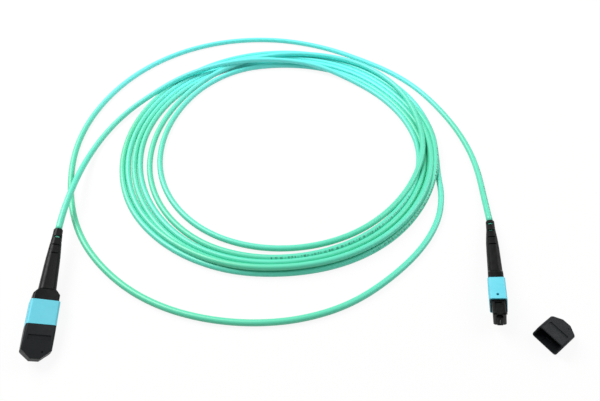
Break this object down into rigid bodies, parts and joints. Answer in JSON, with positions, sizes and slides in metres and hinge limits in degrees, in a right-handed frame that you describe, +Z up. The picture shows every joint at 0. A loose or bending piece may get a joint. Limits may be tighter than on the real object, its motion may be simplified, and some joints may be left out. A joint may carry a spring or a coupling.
{
  "type": "mpo fibre connector patch lead",
  "caption": "Fibre patch lead with a push-pull multi-fibre connector at each end, aqua cable loosely coiled, one dust cap on and one off.",
  "frame": {"origin": "centre of the connectors' and caps' bounding box, on the table they lie on", "axes": "+Z up from the table, +X from the capped connector towards the open one, +Y away from the connectors' tips, towards the coil"},
  "size_m": [0.2576, 0.2444, 0.0143],
  "materials": {
    "aqua_plastic": "moulded, light gloss",
    "black_plastic": "moulded, satin",
    "cap_plastic": "moulded, satin",
    "boot_rubber": "smooth elastomer",
    "grey_rubber": "smooth elastomer",
    "cable_jacket": "extruded, soft sheen",
    "ferrule_resin": "glass-filled, polished end face",
    "spring_steel": "drawn wire and stamped plate",
    "plated_metal": "nickel plated",
    "ribbon": "clear coated fibres"
  },
  "bodies": {
    "lead": {"left_housing": "black_plastic", "left_main_spring": "spring_steel", "left_rear_body": "black_plastic", "left_crimp_ring": "plated_metal", "left_boot": "boot_rubber", "left_cable_end": "cable_jacket", "right_housing": "black_plastic", "right_main_spring": "spring_steel", "right_rear_body": "black_plastic", "right_crimp_ring": "plated_metal", "right_boot": "boot_rubber", "right_cable_end": "cable_jacket", "right_dust_cap": "cap_plastic", "cord_lead_left": "cable_jacket", "cord_coil": "cable_jacket", "cord_lead_right": "cable_jacket"},
    "left_sleeve": {"left_coupling_sleeve": "aqua_plastic", "left_coupling_spring_a": "spring_steel", "left_coupling_spring_b": "spring_steel"},
    "left_ferrule": {"left_mt_ferrule": "ferrule_resin", "left_pin_keeper": "spring_steel", "left_ferrule_boot": "grey_rubber", "left_fibre_ribbon": "ribbon"},
    "right_sleeve": {"right_coupling_sleeve": "aqua_plastic", "right_coupling_spring_a": "spring_steel", "right_coupling_spring_b": "spring_steel"},
    "right_ferrule": {"right_mt_ferrule": "ferrule_resin", "right_pin_keeper": "spring_steel", "right_ferrule_boot": "grey_rubber", "right_fibre_ribbon": "ribbon"},
    "left_cap": {"left_dust_cap": "cap_plastic"}
  },
  "joints": [
    {"name": "left_sleeve_pull", "type": "slide", "parent": "lead", "child": "left_sleeve", "axis": [-0.1164, 0.9908, 0.0698], "range_m": [0, 0.0022], "stiffness_N_per_m": 350, "springref_m": -0.004, "deforming": ["left_coupling_spring_a", "left_coupling_spring_b"]},
    {"name": "left_ferrule_float", "type": "slide", "parent": "lead", "child": "left_ferrule", "axis": [-0.1164, 0.9908, 0.0698], "range_m": [0, 0.0008], "stiffness_N_per_m": 400, "springref_m": -0.005, "deforming": ["left_main_spring", "left_fibre_ribbon"]},
    {"name": "right_sleeve_pull", "type": "slide", "parent": "lead", "child": "right_sleeve", "axis": [0.1817, 0.9805, -0.075], "range_m": [0, 0.0022], "stiffness_N_per_m": 350, "springref_m": -0.004, "deforming": ["right_coupling_spring_a", "right_coupling_spring_b"]},
    {"name": "right_ferrule_float", "type": "slide", "parent": "lead", "child": "right_ferrule", "axis": [0.1817, 0.9805, -0.075], "range_m": [0, 0.0008], "stiffness_N_per_m": 400, "springref_m": -0.005, "deforming": ["right_main_spring", "right_fibre_ribbon"]},
    {"name": "left_cap_pull", "type": "slide", "parent": "lead", "child": "left_cap", "axis": [0.1164, -0.9908, -0.0698], "range_m": [0, 0.025]}
  ]
}
